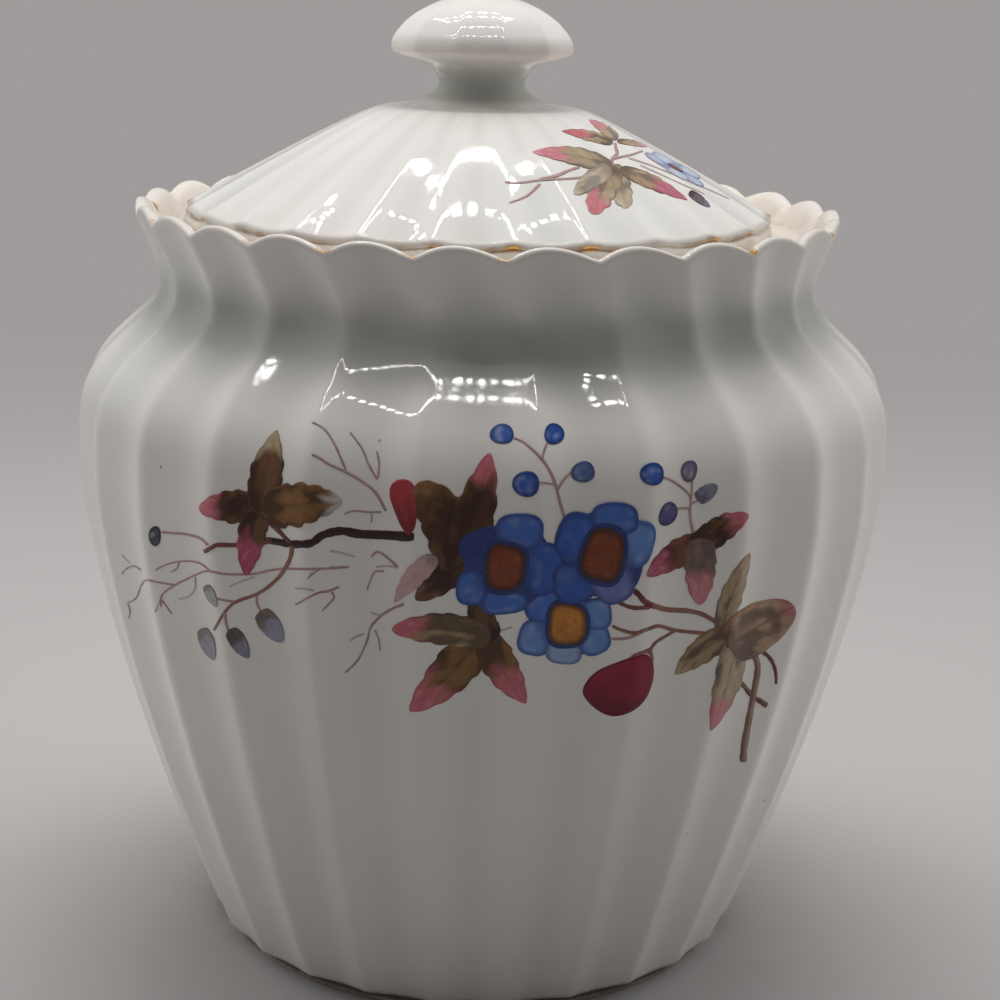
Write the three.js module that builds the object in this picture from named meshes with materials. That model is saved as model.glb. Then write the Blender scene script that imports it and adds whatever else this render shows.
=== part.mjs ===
import * as THREE from 'three';

// A lidded porcelain jar: a fluted body, a flaring scalloped collar, and a domed lid with a knob.
// Millimetres, +Z up. The origin is the middle of the foot, on the surface that the jar stands on,
// and -Y is the front. Radii of the fluted wall are those of the sharp ridges between the flutes.

// Flutes: shallow hollows side by side, from the foot to the rim and again round the lid
const fluteCount = 26;
const fluteDepth = 1.25;
const stepsPerFlute = 4;
const frontFluteTurn = THREE.MathUtils.degToRad(-0.6);

// Body
const footRadius = 50.1;
const bellyRadius = 75;
const bellyHeight = 92;
const neckRadius = 60.1;
const shoulderHeight = 32.2;
const wallThickness = 3.4;
const floorThickness = 5;
const floorFillet = 4;

// Foot ring, left bare of glaze
const footRingHeight = 2;
const footRingWidth = 6.6;
const footRingInset = 0.3;
const footRingBevel = 0.6;
const footTurn = 0.7;

// Collar: it flares from the neck to the rim, whose edge rises in a scallop over each flute.
// The ridges lean to one side on their way up it, more on the right of the front than on the left.
const collarHeight = 11.6;
const collarFlare = 4.5;
const scallopRise = 2;
const lipThickness = 2.7;
const rimLean = THREE.MathUtils.degToRad(-3.4);
const rimSway = THREE.MathUtils.degToRad(3);

// Seat for the lid: a ledge sunk in the collar, carried on a short foot
const seatReach = 3.6;
const seatDrop = 3.3;
const seatThickness = 3.4;
const seatFoot = 0.5;
const seatWall = 3.3;
const seatBevel = 0.6;
const neckLedgeThickness = 1.5;
const fitGap = 0.3;

// Lid: it lies a little to the left in the play that its flange has in the mouth
const lidOverlap = 4.5;
const lidShift = 1.8;
const lidEdgeThickness = 3.5;
const domeRise = 18.6;
const domeThickness = 3.3;
const lidFluteDepth = 0.7;
const flangeDepth = 7;
const flangeThickness = 3;
const flangeClearance = 2.1;
const flangeBevel = 0.7;

// Knob
const stemFootRadius = 13.8;
const stemWaistRadius = 7.9;
const stemTopRadius = 9.5;
const stemHeight = 7;
const stemFootMargin = 3;
const capRadius = 16.7;
const capHeight = 12.4;
const capFluteCount = 12;
const capFluteDepth = 0.3;
const buttonRadius = 3.6;
const buttonHeight = 4.2;

// How round each curve is: powers of the share of the way along it
const lowerBodyCurve = 1.45;
const shoulderCurve = 4.1;
const neckCurve = 3;
const collarCurve = 1.4;
const scallopCurve = 2;
const domeCurve = 1.09;
const lidFluteFade = 1.5;
const stemCurve = 2;

// Rows of each outline, as shares of the height or width that they divide
const bodyRowShares = [0.2, 0.38, 0.56, 0.74, 0.88, 1];
const shoulderRowShares = [0.3, 0.5, 0.66, 0.8, 0.91, 1];
const innerShoulderRowShares = [0.86, 0.62, 0.42, 0.15];
const innerBodyRowShares = [0.86, 0.66, 0.45, 0.24];
const collarRowShares = [0, 0.34, 0.68, 1];
const seatRowShares = [0, 0.33, 0.66, 1];
const domeRowShares = [0.82, 0.64, 0.47, 0.31, 0.17, 0.06, 0];
const innerDomeRowShares = [0, 0.25, 0.5, 0.72];
const stemRowShares = [0, 0.12, 0.28, 0.5, 0.75, 1];
const lipStepCount = 4;

// Corners as pairs of shares: across the corner, then up it
const filletShares = [[0, 1], [0.3, 0.3], [1, 0]];
const lidEdgeShares = [[0.34, 0], [0.12, 0.15], [0, 0.5], [0.08, 0.8], [0.3, 0.98]];

// Outlines as pairs of shares of the piece's radius and height, from its bottom up
const stemWaistShare = 0.62;
const stemThroatShares = [[0.1, 0.5], [0.45, 0.8], [1, 1]];
const capOutlineShares = [
  [0.735, 0.089], [0.904, 0.153], [0.982, 0.218], [1, 0.306], [0.976, 0.427],
  [0.904, 0.556], [0.807, 0.685], [0.657, 0.815], [0.458, 0.935],
];
const capFluteShares = [0, 0.2, 0.6, 1, 1, 1, 1, 0.8, 0.4];
const capTopShare = 1.15;
const buttonOutlineShares = [[1, 0], [1.03, 0.35], [0.93, 0.68], [0.62, 0.92]];

// Sizes that follow from those above
const floorTop = footRingHeight + floorThickness;
const neckHeight = bellyHeight + shoulderHeight;
const rimHeight = neckHeight + collarHeight;
const rimRadius = neckRadius + collarFlare;
const ledgeRadius = neckRadius - wallThickness - fitGap - seatWall;
const mouthRadius = ledgeRadius - seatReach;
const seatHeight = rimHeight - seatDrop;
const lidRadius = mouthRadius + lidOverlap;
const lidBottom = seatHeight + fitGap;
const lidEdgeTop = lidBottom + lidEdgeThickness;
const domeTop = lidEdgeTop + domeRise;
const apexRadius = stemFootRadius + stemFootMargin;
const flangeRadius = mouthRadius - flangeClearance;
const flangeInnerRadius = flangeRadius - flangeThickness;
const stemTop = domeTop + stemHeight;
const capTop = stemTop + capHeight;
const capTopRadius = buttonRadius * capTopShare;
const segments = fluteCount * stepsPerFlute;
const capSegments = capFluteCount * stepsPerFlute;
const ringSegments = 64;
const buttonSegments = 24;

// The wall's outer radius at a height: a swelling body, a shoulder that tucks into the neck, a flare
function outerRadius(z) {
  if (z <= bellyHeight) {
    const below = (bellyHeight - z) / bellyHeight;
    return footRadius + (bellyRadius - footRadius) * (1 - below ** lowerBodyCurve);
  }
  if (z <= neckHeight) {
    const up = (z - bellyHeight) / (neckHeight - bellyHeight);
    return neckRadius + (bellyRadius - neckRadius) * (1 - up ** shoulderCurve) ** neckCurve;
  }
  const flare = (z - neckHeight) / (rimHeight - neckHeight);
  return neckRadius + (rimRadius - neckRadius) * flare ** collarCurve;
}

// How far into its flute a step lies: 0 on a ridge, 1 in the middle of the hollow
function hollowAt(step, steps) {
  const across = (step % steps) / steps;
  return 4 * across * (1 - across);
}

// How far the collar's ridges have turned aside at a height
function leanAt(angle, z) {
  const up = Math.max(0, (z - neckHeight) / (rimHeight - neckHeight));
  return up * (rimLean - rimSway * Math.sin(angle));
}

// An outline point of the fluted wall, some way in from its outer face
function onWall(inset, z, rise = 0) {
  return (hollow, angle) => {
    const height = z + rise * hollow;
    const radius = outerRadius(height);
    return [radius - inset - fluteDepth * (radius / bellyRadius) * hollow, height, leanAt(angle, height)];
  };
}

// An outline point that is the same all the way round
function round(radius, z) {
  return () => [radius, z];
}

function between(low, high, share) {
  return low + (high - low) * share;
}

// Turns an outline about Z and moves each point in or out as its place across the flutes asks.
// The outline runs up the outside, in over the top and down the inside.
function turned(outline, count, steps = stepsPerFlute) {
  const lobes = count / steps;
  const start = frontFluteTurn - Math.PI / lobes;
  const profile = outline.map((point) => {
    const [radius, z] = point(0, start);
    return new THREE.Vector2(radius, z);
  });
  const geometry = new THREE.LatheGeometry(profile, count, start);
  geometry.rotateX(Math.PI / 2);
  const position = geometry.getAttribute('position');
  for (let step = 0; step <= count; step += 1) {
    const angle = start + ((step % count) / count) * 2 * Math.PI;
    outline.forEach((point, row) => {
      const [radius, z, lean = 0] = point(hollowAt(step, steps), angle);
      const [x, y] = [radius * Math.sin(angle + lean), -radius * Math.cos(angle + lean)];
      position.setXYZ(step * outline.length + row, x, y, z);
    });
  }
  return geometry;
}

function closed(outline) {
  return [...outline, outline[0]];
}

// Foot ring: the plain band that the jar stands on
function footRing() {
  const outer = footRadius - footTurn - footRingInset;
  const inner = outer - footRingWidth;
  return turned(closed([
    round(outer - footRingBevel, 0),
    round(outer, footRingBevel),
    round(outer, footRingHeight),
    round(inner, footRingHeight),
    round(inner, footRingBevel),
    round(inner + footRingBevel, 0),
  ]), ringSegments, 1);
}

// Floor: a disc whose fluted edge is the lowest part of the wall, turned under at the foot
function jarFloor() {
  return turned([
    round(0, footRingHeight),
    onWall(footTurn, footRingHeight),
    onWall(0, footRingHeight + footTurn),
    onWall(0, floorTop),
    round(0, floorTop),
  ], segments);
}

// How far the collar's inner face lies in from its outer face, thinning from the neck to the lip
const lipHalf = lipThickness / 2;
const lipCentre = rimHeight - lipHalf;
const collarInset = (share) => between(wallThickness, lipThickness, share);
const collarRowHeight = (share) => between(neckHeight, lipCentre, share);

// Wall: from the floor to the neck, thickened inside the neck into a ledge that carries the seat
function jarWall() {
  const outside = [
    onWall(0, floorTop),
    ...bodyRowShares.map((share) => onWall(0, between(floorTop, bellyHeight, share))),
    ...shoulderRowShares.map((share) => onWall(0, between(bellyHeight, neckHeight, share))),
  ];
  const inside = [
    round(ledgeRadius, neckHeight),
    round(ledgeRadius, neckHeight - neckLedgeThickness),
    ...innerShoulderRowShares.map((share) => onWall(wallThickness, between(bellyHeight, neckHeight, share))),
    ...innerBodyRowShares.map((share) => onWall(wallThickness, between(floorTop, bellyHeight, share))),
    ...filletShares.map(([across, up]) => (
      onWall(wallThickness + across * floorFillet, floorTop + up * floorFillet)
    )),
  ];
  return turned(closed([...outside, ...inside]), segments);
}

// Collar: its lip is a half round, and the whole face rises with the scallops more and more to the rim
function collar() {
  const rise = (share) => scallopRise * share ** scallopCurve;
  const outside = collarRowShares.map((share) => onWall(0, collarRowHeight(share), rise(share)));
  const lip = [];
  for (let step = 1; step < lipStepCount; step += 1) {
    const angle = (Math.PI * step) / lipStepCount;
    const inset = lipHalf * (1 - Math.cos(angle));
    lip.push(onWall(inset, lipCentre + lipHalf * Math.sin(angle), scallopRise));
  }
  const inside = [...collarRowShares].reverse().map((share) => (
    onWall(collarInset(share), collarRowHeight(share), rise(share))
  ));
  return turned(closed([...outside, ...lip, ...inside]), segments);
}

// Lid seat: a ring that stands on the neck's ledge and reaches in as a shelf round the mouth
function lidSeat() {
  const outside = seatRowShares.map((share) => {
    const z = between(neckHeight, seatHeight, share);
    const along = (z - neckHeight) / (lipCentre - neckHeight);
    return onWall(collarInset(along) + fitGap, z);
  });
  return turned(closed([
    ...outside,
    round(mouthRadius + seatBevel, seatHeight),
    round(mouthRadius, seatHeight - seatBevel),
    round(mouthRadius, seatHeight - seatThickness),
    round(ledgeRadius, neckHeight + seatFoot),
    round(ledgeRadius, neckHeight),
  ]), segments);
}

// The dome's height at a share of the way from the flat under the knob to the lid's edge
function domeHeight(share) {
  return domeTop - domeRise * share ** domeCurve;
}

// An outline point of the fluted dome, whose hollows fade out towards the knob
function onDome(share) {
  const radius = between(apexRadius, lidRadius, share);
  return (hollow) => [radius, domeHeight(share) - lidFluteDepth * hollow * share ** lidFluteFade];
}

// Dome: from under its flat middle out to the edge that rests on the seat, and back over the top
function lidDome() {
  const under = innerDomeRowShares.map((share) => (
    round(between(apexRadius, lidRadius, share), domeHeight(share) - domeThickness)
  ));
  const edge = lidEdgeShares.map(([across, up]) => {
    const radius = lidRadius - across * lidEdgeThickness;
    const dip = lidFluteDepth * up;
    return (hollow) => [radius - lidFluteDepth * hollow, lidBottom + up * lidEdgeThickness - dip * hollow];
  });
  return turned([
    round(0, domeTop - domeThickness),
    ...under,
    round(flangeInnerRadius - fitGap, lidBottom),
    ...edge,
    ...domeRowShares.map(onDome),
    round(0, domeTop),
  ], segments);
}

// Flange: the ring under the dome that keeps the lid from sliding off the mouth
function lidFlange() {
  const bottom = lidBottom - flangeDepth;
  return turned(closed([
    round(flangeRadius - flangeBevel, bottom),
    round(flangeRadius, bottom + flangeBevel),
    round(flangeRadius, lidBottom),
    round(flangeInnerRadius, lidBottom),
    round(flangeInnerRadius, bottom + flangeBevel),
    round(flangeInnerRadius + flangeBevel, bottom),
  ]), ringSegments, 1);
}

// Stem: it spreads to a wide foot on the dome and opens again under the cap
function knobStem() {
  const waistHeight = stemHeight * stemWaistShare;
  const foot = stemRowShares.map((share) => {
    const radius = between(stemWaistRadius, stemFootRadius, (1 - share) ** stemCurve);
    return round(radius, domeTop + waistHeight * share);
  });
  const throat = stemThroatShares.map(([out, up]) => round(
    between(stemWaistRadius, stemTopRadius, out),
    domeTop + between(waistHeight, stemHeight, up),
  ));
  return turned([round(0, domeTop), ...foot, ...throat, round(0, stemTop)], capSegments);
}

// Cap: a mushroom with faint flutes over its top
function knobCap() {
  const side = capOutlineShares.map(([out, up], row) => {
    const dip = capFluteDepth * capFluteShares[row];
    return (hollow) => [capRadius * out - dip * hollow, stemTop + capHeight * up];
  });
  return turned([
    round(0, stemTop),
    round(stemTopRadius, stemTop),
    ...side,
    round(capTopRadius, capTop),
    round(0, capTop),
  ], capSegments);
}

// Button: the small domed finial in the middle of the cap
function knobButton() {
  return turned([
    round(0, capTop),
    ...buttonOutlineShares.map(([out, up]) => round(buttonRadius * out, capTop + buttonHeight * up)),
    round(0, capTop + buttonHeight),
  ], buttonSegments);
}

const glazedPorcelain = { color: 0xe9e8e2, roughness: 0.14, metalness: 0 };
const barePorcelain = { color: 0xcdc4b4, roughness: 0.8, metalness: 0 };
const wornGilding = { color: 0xc79a4b, roughness: 0.32, metalness: 0.85 };

function piece(name, geometry, finish) {
  const mesh = new THREE.Mesh(geometry, new THREE.MeshStandardMaterial(finish));
  mesh.name = name;
  return mesh;
}

const jar = new THREE.Group();
jar.add(
  piece('foot_ring', footRing(), barePorcelain),
  piece('jar_floor', jarFloor(), glazedPorcelain),
  piece('jar_wall', jarWall(), glazedPorcelain),
  piece('collar', collar(), glazedPorcelain),
  piece('lid_seat', lidSeat(), glazedPorcelain),
);

const knob = new THREE.Group();
knob.add(
  piece('knob_stem', knobStem(), glazedPorcelain),
  piece('knob_cap', knobCap(), glazedPorcelain),
  piece('knob_button', knobButton(), wornGilding),
);

const lid = new THREE.Group();
lid.add(
  piece('lid_flange', lidFlange(), glazedPorcelain),
  piece('lid_dome', lidDome(), glazedPorcelain),
  knob,
);
lid.position.x = -lidShift;

const object = new THREE.Group();
object.add(jar, lid);

export default object;
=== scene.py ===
from collections import namedtuple
from math import atan2, cos, exp, hypot, pi, radians, sin, sqrt, tau

import bmesh
import bpy
from mathutils import Matrix, Vector, noise
from mathutils.bvhtree import BVHTree


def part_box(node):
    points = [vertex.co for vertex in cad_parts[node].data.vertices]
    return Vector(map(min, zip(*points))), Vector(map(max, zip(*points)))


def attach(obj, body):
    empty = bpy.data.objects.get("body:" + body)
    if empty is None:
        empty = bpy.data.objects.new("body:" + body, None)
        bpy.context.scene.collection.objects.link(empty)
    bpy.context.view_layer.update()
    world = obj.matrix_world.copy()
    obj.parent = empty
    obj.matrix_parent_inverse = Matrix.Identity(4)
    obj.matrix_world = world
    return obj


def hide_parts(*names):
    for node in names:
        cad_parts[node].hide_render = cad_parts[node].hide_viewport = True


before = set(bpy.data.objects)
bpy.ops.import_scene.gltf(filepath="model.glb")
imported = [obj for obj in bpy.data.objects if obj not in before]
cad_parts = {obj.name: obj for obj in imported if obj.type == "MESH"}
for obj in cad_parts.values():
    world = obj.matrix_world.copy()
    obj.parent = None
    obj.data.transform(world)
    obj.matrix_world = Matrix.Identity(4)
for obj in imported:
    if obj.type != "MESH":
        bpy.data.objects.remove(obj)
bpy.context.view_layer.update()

# The porcelain jar: one glazed shell for the jar, one for its lid, a bare foot, worn gilding, and a
# spray of enamel flowers laid on the glaze. Metres, +Z up; angles run from the front (-Y) to +X.
MM = 0.001

# Flutes
FLUTES = 26
CAP_FLUTES = 12
FLUTE_DEPTH = 1.25 * MM
LID_FLUTE_DEPTH = 0.7 * MM
CAP_FLUTE_DEPTH = 0.3 * MM
FRONT_FLUTE_TURN = radians(-0.6)
RIDGE_ROUNDING = 0.16
COLUMNS = 14 * FLUTES
PLAIN_COLUMNS = 180

# Jar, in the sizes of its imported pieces
FOOT_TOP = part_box("foot_ring")[1].z
FOOT_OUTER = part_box("foot_ring")[1].x
FLOOR_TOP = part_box("jar_floor")[1].z
NECK_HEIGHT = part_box("jar_wall")[1].z
SEAT_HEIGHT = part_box("lid_seat")[1].z
RIM_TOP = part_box("collar")[1].z
FOOT_RADIUS = 50.1 * MM
BELLY_RADIUS = 75 * MM
BELLY_HEIGHT = 92 * MM
NECK_RADIUS = 60.1 * MM
COLLAR_FLARE = 4.5 * MM
BODY_CURVE = 1.45
SHOULDER_CURVE = 4.1
NECK_CURVE = 3
FLARE_CURVE = 1.4
SCALLOP_RISE = 2 * MM
RIM_LEAN = radians(-3.4)
RIM_SWAY = radians(3)
WALL = 3.4 * MM
LIP = 2.7 * MM
FOOT_TURN = 0.7 * MM
FOOT_WIDTH = 6.6 * MM
FOOT_ROUNDING = 0.8 * MM
FLOOR_FILLET = 4 * MM
LEDGE_RADIUS = 53.1 * MM
MOUTH_RADIUS = 49.5 * MM
SEAT_THICKNESS = 3.4 * MM
SEAT_FOOT = 0.5 * MM
SEAT_ROUNDING = 0.6 * MM
LEDGE_BOTTOM = NECK_HEIGHT - 1.5 * MM
NECK_INSIDE = 119.7 * MM
RIM_HEIGHT = RIM_TOP - SCALLOP_RISE
LIP_CENTRE = RIM_HEIGHT - LIP / 2

# Painted shade under the collar's flare, darkest just under the neck where the glaze also runs
# together, and the glaze run together in every flute
NECK_SHADE_HEIGHT = 121.5 * MM
NECK_SHADE_SPREAD = 6 * MM
FLUTE_POOLING = 0.4

# How soiled the floor is inside the foot ring, at distances from the ring
FOOT_SOIL = ((6 * MM, 0.0), (2 * MM, 0.15), (0.5 * MM, 0.45))

# Lid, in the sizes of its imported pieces
LID_MIDDLE = Vector((-1.8 * MM, 0, 0))
LID_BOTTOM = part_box("lid_dome")[0].z
DOME_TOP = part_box("lid_dome")[1].z
STEM_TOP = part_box("knob_stem")[1].z
CAP_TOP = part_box("knob_cap")[1].z
BUTTON_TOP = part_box("knob_button")[1].z
FLANGE_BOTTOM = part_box("lid_flange")[0].z
LID_RADIUS = 54 * MM
LID_EDGE = 3.5 * MM
DOME_RISE = 18.6 * MM
DOME_CURVE = 1.09
DOME_THICKNESS = 3.3 * MM
APEX_RADIUS = 16.8 * MM
DOME_ROUNDING = 0.05
UNDER_REACH = 43.6 * MM
FLANGE_RADIUS = 47.4 * MM
FLANGE_THICKNESS = 3 * MM
FLANGE_ROUNDING = 0.9 * MM
STEM_FOOT_RADIUS = 13.8 * MM
STEM_WAIST_RADIUS = 7.9 * MM
STEM_TOP_RADIUS = 9.5 * MM
STEM_WAIST_SHARE = 0.62
CAP_RADIUS = 16.7 * MM
BUTTON_RADIUS = 3.6 * MM
BUTTON_SEAT = 0.2 * MM

# Outlines as shares of the piece's radius and height, and how much flute each point carries
LID_EDGE_SHARES = ((0.34, 0.0), (0.12, 0.12), (0.0, 0.5), (0.07, 0.8), (0.26, 0.97))
CAP_SHARES = (
    (0.572, 0.0, 0.0), (0.655, 0.045, 0.0), (0.79, 0.1, 0.1), (0.904, 0.153, 0.2),
    (0.982, 0.218, 0.6), (1.0, 0.306, 1.0), (0.976, 0.427, 1.0), (0.904, 0.556, 1.0),
    (0.807, 0.685, 1.0), (0.657, 0.815, 0.8), (0.458, 0.935, 0.4), (0.25, 1.0, 0.0),
)
BUTTON_SHARES = ((0.94, 0.0), (1.03, 0.3), (0.98, 0.6), (0.7, 0.88), (0.3, 0.985))


def between(low, high, share):
    return low + (high - low) * share


def smooth(low, high, value):
    """0 below low, 1 above high, and an even curve between"""
    share = min(1.0, max(0.0, (value - low) / (high - low)))
    return share * share * (3 - 2 * share)


def shares(count, first=0):
    """Even steps up to 1: from 0, or from the first step on"""
    return [step / count for step in range(first, count + 1)]


def rounding(radius, steps=4, first=0):
    """A corner's quarter round: the share passed, and what is left and what has gone of its reach"""
    for share in shares(steps, first):
        turn = share * pi / 2
        yield share, radius * (1 - sin(turn)), radius * (1 - cos(turn))


def polar(radius, angle, z):
    return Vector((radius * sin(angle), -radius * cos(angle), z))


def angle_of(spot):
    return atan2(spot.x, -spot.y)


def through(points, steps):
    """A smooth line through points, with some steps to each stretch"""
    points = [Vector(point) for point in points]
    line = [points[0]]
    for index in range(len(points) - 1):
        before, start = points[max(index - 1, 0)], points[index]
        end, after = points[index + 1], points[min(index + 2, len(points) - 1)]
        for share in shares(steps, 1):
            curve = 2 * start + (end - before) * share
            curve += (2 * before - 5 * start + 4 * end - after) * share ** 2
            curve += (3 * start - before - 3 * end + after) * share ** 3
            line.append(curve / 2)
    return line


# The fluted shape
def hollow_at(angle, flutes=FLUTES):
    """How deep in its flute an angle lies: 0 on the rounded ridge, 1 in the middle of the hollow"""
    across = ((angle - FRONT_FLUTE_TURN) * flutes / tau + 0.5) % 1
    sharp = 4 * across * (1 - across)
    deepest = hypot(1, RIDGE_ROUNDING) - RIDGE_ROUNDING
    return (hypot(sharp, RIDGE_ROUNDING) - RIDGE_ROUNDING) / deepest


def outer_radius(z):
    """The wall's radius on a ridge: a swelling body, a shoulder tucked into the neck, a flare"""
    if z <= BELLY_HEIGHT:
        below = (BELLY_HEIGHT - z) / BELLY_HEIGHT
        return FOOT_RADIUS + (BELLY_RADIUS - FOOT_RADIUS) * (1 - below ** BODY_CURVE)
    if z <= NECK_HEIGHT:
        up = (z - BELLY_HEIGHT) / (NECK_HEIGHT - BELLY_HEIGHT)
        return NECK_RADIUS + (BELLY_RADIUS - NECK_RADIUS) * (1 - up ** SHOULDER_CURVE) ** NECK_CURVE
    flare = (z - NECK_HEIGHT) / (RIM_HEIGHT - NECK_HEIGHT)
    return NECK_RADIUS + COLLAR_FLARE * flare ** FLARE_CURVE


def wall_spot(angle, z, inset=0.0, rise=0.0):
    """A point of the fluted wall, some way in from its outer face"""
    hollow = hollow_at(angle)
    height = z + rise * hollow
    radius = outer_radius(height)
    up = max(0.0, (height - NECK_HEIGHT) / (RIM_HEIGHT - NECK_HEIGHT))
    lean = up * (RIM_LEAN - RIM_SWAY * sin(angle))
    depth = FLUTE_DEPTH * (radius / BELLY_RADIUS)
    return polar(radius - inset - depth * hollow, angle + lean, height)


def dome_fall(radius):
    """How far the dome has fallen at a radius: level under the knob, then nearly straight"""
    share = max(0.0, (radius - APEX_RADIUS) / (LID_RADIUS - APEX_RADIUS))
    eased = hypot(share ** DOME_CURVE, DOME_ROUNDING) - DOME_ROUNDING
    return DOME_RISE * eased / (hypot(1, DOME_ROUNDING) - DOME_ROUNDING)


def dome_spot(angle, radius):
    """A point of the lid's fluted top, whose hollows fade out towards the knob"""
    share = max(0.0, (radius - APEX_RADIUS) / (LID_RADIUS - APEX_RADIUS))
    hollow = hollow_at(angle)
    drawn_in = LID_FLUTE_DEPTH * hollow * smooth(0.8, 1.0, share)
    z = DOME_TOP - dome_fall(radius) - LID_FLUTE_DEPTH * hollow * share ** 1.5
    return polar(radius - drawn_in, angle, z)


# A row of a turned piece: where it lies at an angle, how gilded, creamy and soiled it is, how far
# its gilding keeps to the ridges, how much painted shade and pooled glaze lie all along it, and how
# thick the glaze lies in its flutes
Row = namedtuple("Row", "place gilt cream soil ridges pooled in_flutes", defaults=(0.0,) * 6)


def on_wall(inset, z, rise=0.0, **look):
    return Row(lambda angle: wall_spot(angle, z, inset, rise), in_flutes=FLUTE_POOLING, **look)


def on_dome(radius, **look):
    return Row(lambda angle: dome_spot(angle, radius), in_flutes=FLUTE_POOLING, **look)


def level(radius, z, **look):
    return Row(lambda angle: polar(radius, angle, z), **look)


def on_cap(out, up, flute, **look):
    def place(angle):
        dip = CAP_FLUTE_DEPTH * flute * hollow_at(angle, CAP_FLUTES)
        return polar(CAP_RADIUS * out - dip, angle, between(STEM_TOP, CAP_TOP, up))
    return Row(place, **look)


def rows_between(low, high, steps, **look):
    """Rows that lead straight from one row to another, both left out"""
    return [
        Row(lambda angle, share=share: low.place(angle).lerp(high.place(angle), share), **look)
        for share in shares(steps)[1:-1]
    ]


def finished(name, bm, finish):
    for face in bm.faces:
        face.smooth = True
    mesh = bpy.data.meshes.new(name)
    bm.to_mesh(mesh)
    bm.free()
    piece = bpy.data.objects.new(name, mesh)
    bpy.context.scene.collection.objects.link(piece)
    piece.data.materials.append(finish)
    return piece


def turned(name, rows, finish, columns=COLUMNS, middle=Vector(), ring=False):
    """A body spun about a vertical axis, its rows then set in and out of the flutes"""
    bm = bmesh.new()
    row_of = bm.verts.layers.int.new("row")
    look_of = bm.verts.layers.float_color.new("look")
    start = FRONT_FLUTE_TURN - pi / FLUTES
    outline = []
    for index, row in enumerate(rows):
        spot = row.place(start)
        vert = bm.verts.new(polar(hypot(spot.x, spot.y), start, spot.z))
        vert[row_of] = index
        outline.append(vert)
    ends = outline[1:] + outline[:1] if ring else outline[1:]
    edges = [bm.edges.new(pair) for pair in zip(outline, ends)]
    bmesh.ops.spin(
        bm, geom=outline + edges, axis=(0, 0, 1), angle=tau, steps=columns, use_merge=True,
    )
    bmesh.ops.remove_doubles(bm, verts=bm.verts, dist=0.001 * MM)
    bmesh.ops.recalc_face_normals(bm, faces=bm.faces)
    for vert in bm.verts:
        row = rows[vert[row_of]]
        angle = angle_of(vert.co)
        vert.co = row.place(angle) + middle
        hollow = hollow_at(angle)
        gilt = row.gilt * (1 - row.ridges * smooth(0.0, 0.55, hollow))
        # The glaze pooled in the flutes, and the painted shade that each row carries
        glaze_depth_and_shade = between(row.in_flutes * hollow, 1.0, row.pooled)
        vert[look_of] = (gilt, row.cream, row.soil, glaze_depth_and_shade)
    bm.verts.layers.int.remove(row_of)
    return finished(name, bm, finish)


# Finishes
class Nodes:
    """The nodes of a material or the world, with short ways to add to them"""

    def __init__(self, owner):
        owner.use_nodes = True
        self.tree = owner.node_tree

    def add(self, kind, inputs=None, **settings):
        node = self.tree.nodes.new(kind)
        for setting, value in settings.items():
            setattr(node, setting, value)
        for socket, value in (inputs or {}).items():
            self.set(node.inputs[socket], value)
        return node

    def set(self, socket, value):
        if isinstance(value, bpy.types.NodeSocket):
            self.tree.links.new(value, socket)
        else:
            socket.default_value = value


class Finish(Nodes):
    """A material in the making"""

    def __init__(self, name):
        self.material = bpy.data.materials.new(name)
        super().__init__(self.material)
        self.shader = self.tree.nodes["Principled BSDF"]
        coordinates = self.add("ShaderNodeTexCoord").outputs["Object"]
        self.place = self.add("ShaderNodeMapping", {"Vector": coordinates}).outputs[0]

    def finish(self, **inputs):
        for name, value in inputs.items():
            self.set(self.shader.inputs[name.replace("_", " ")], value)
        return self.material

    def noise(self, scale, detail=2.0, roughness=0.5):
        inputs = {"Vector": self.place, "Scale": scale, "Detail": detail, "Roughness": roughness}
        return self.add("ShaderNodeTexNoise", inputs).outputs[0]

    def ramp(self, value, low, high, start=0.0, end=1.0):
        inputs = {0: value, 1: low, 2: high, 3: start, 4: end}
        return self.add("ShaderNodeMapRange", inputs, interpolation_type="SMOOTHSTEP").outputs[0]

    def sum(self, first, second, operation="ADD"):
        settings = {"operation": operation, "use_clamp": True}
        return self.add("ShaderNodeMath", {0: first, 1: second}, **settings).outputs[0]

    def times(self, first, second):
        return self.sum(first, second, "MULTIPLY")

    def mix(self, factor, first, second, blend_type="MIX"):
        inputs = {0: factor, 6: first, 7: second}
        return self.add("ShaderNodeMix", inputs, data_type="RGBA", blend_type=blend_type).outputs[2]

    def bump(self, height, strength, distance):
        inputs = {"Height": height, "Strength": strength, "Distance": distance}
        return self.add("ShaderNodeBump", inputs).outputs[0]

    def attribute(self, name):
        return self.add("ShaderNodeAttribute", attribute_name=name, attribute_type="GEOMETRY")


GLAZE_WARM = (0.765, 0.73, 0.70, 1)
GLAZE_COOL = (0.725, 0.712, 0.675, 1)
# The pooled glaze's tone, dark enough to paint the shade under the neck and the knob's cap
GLAZE_POOLED_AND_SHADED = (0.34, 0.36, 0.32, 1)
CREAM = (0.72, 0.63, 0.54, 1)
SOIL = (0.075, 0.055, 0.04, 1)
SPECK = (0.16, 0.12, 0.09, 1)
GOLD = (0.74, 0.43, 0.12, 1)
GOLD_STAIN = (0.40, 0.235, 0.11, 1)
GOLD_DEEP = (0.5, 0.27, 0.09, 1)
GOLD_RUBBED = (0.62, 0.47, 0.38, 1)
BARE_BODY = (0.56, 0.49, 0.40, 1)
BARE_GREYED = (0.34, 0.27, 0.2, 1)
BRUSH_STREAK = (0.72, 0.66, 0.62, 1)


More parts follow.
